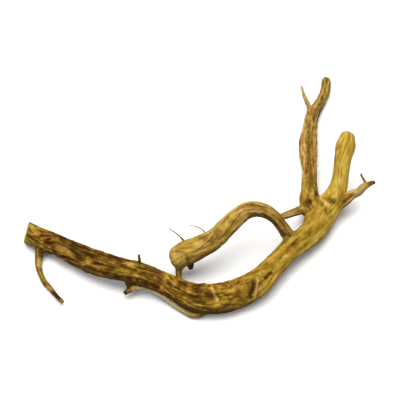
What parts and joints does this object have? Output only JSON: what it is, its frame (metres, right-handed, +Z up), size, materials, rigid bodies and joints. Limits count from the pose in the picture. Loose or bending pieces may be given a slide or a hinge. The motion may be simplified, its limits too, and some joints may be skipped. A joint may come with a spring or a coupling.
{
  "type": "dried ashwagandha root",
  "caption": "Dried branched root with lengthwise wrinkles: a bent main root, an arched side branch, a forked crown and thin rootlets, lying flat.",
  "frame": {"origin": "centre of the bounding box, on the surface that the root lies on", "axes": "+X from the cut left end towards the twig on the crown, +Y towards the far end of the back limb, +Z up"},
  "size_m": [0.1146, 0.1036, 0.0189],
  "materials": {
    "bark": "matte, wrinkled lengthwise"
  },
  "bodies": {
    "root": {"root": "bark"}
  },
  "joints": []
}
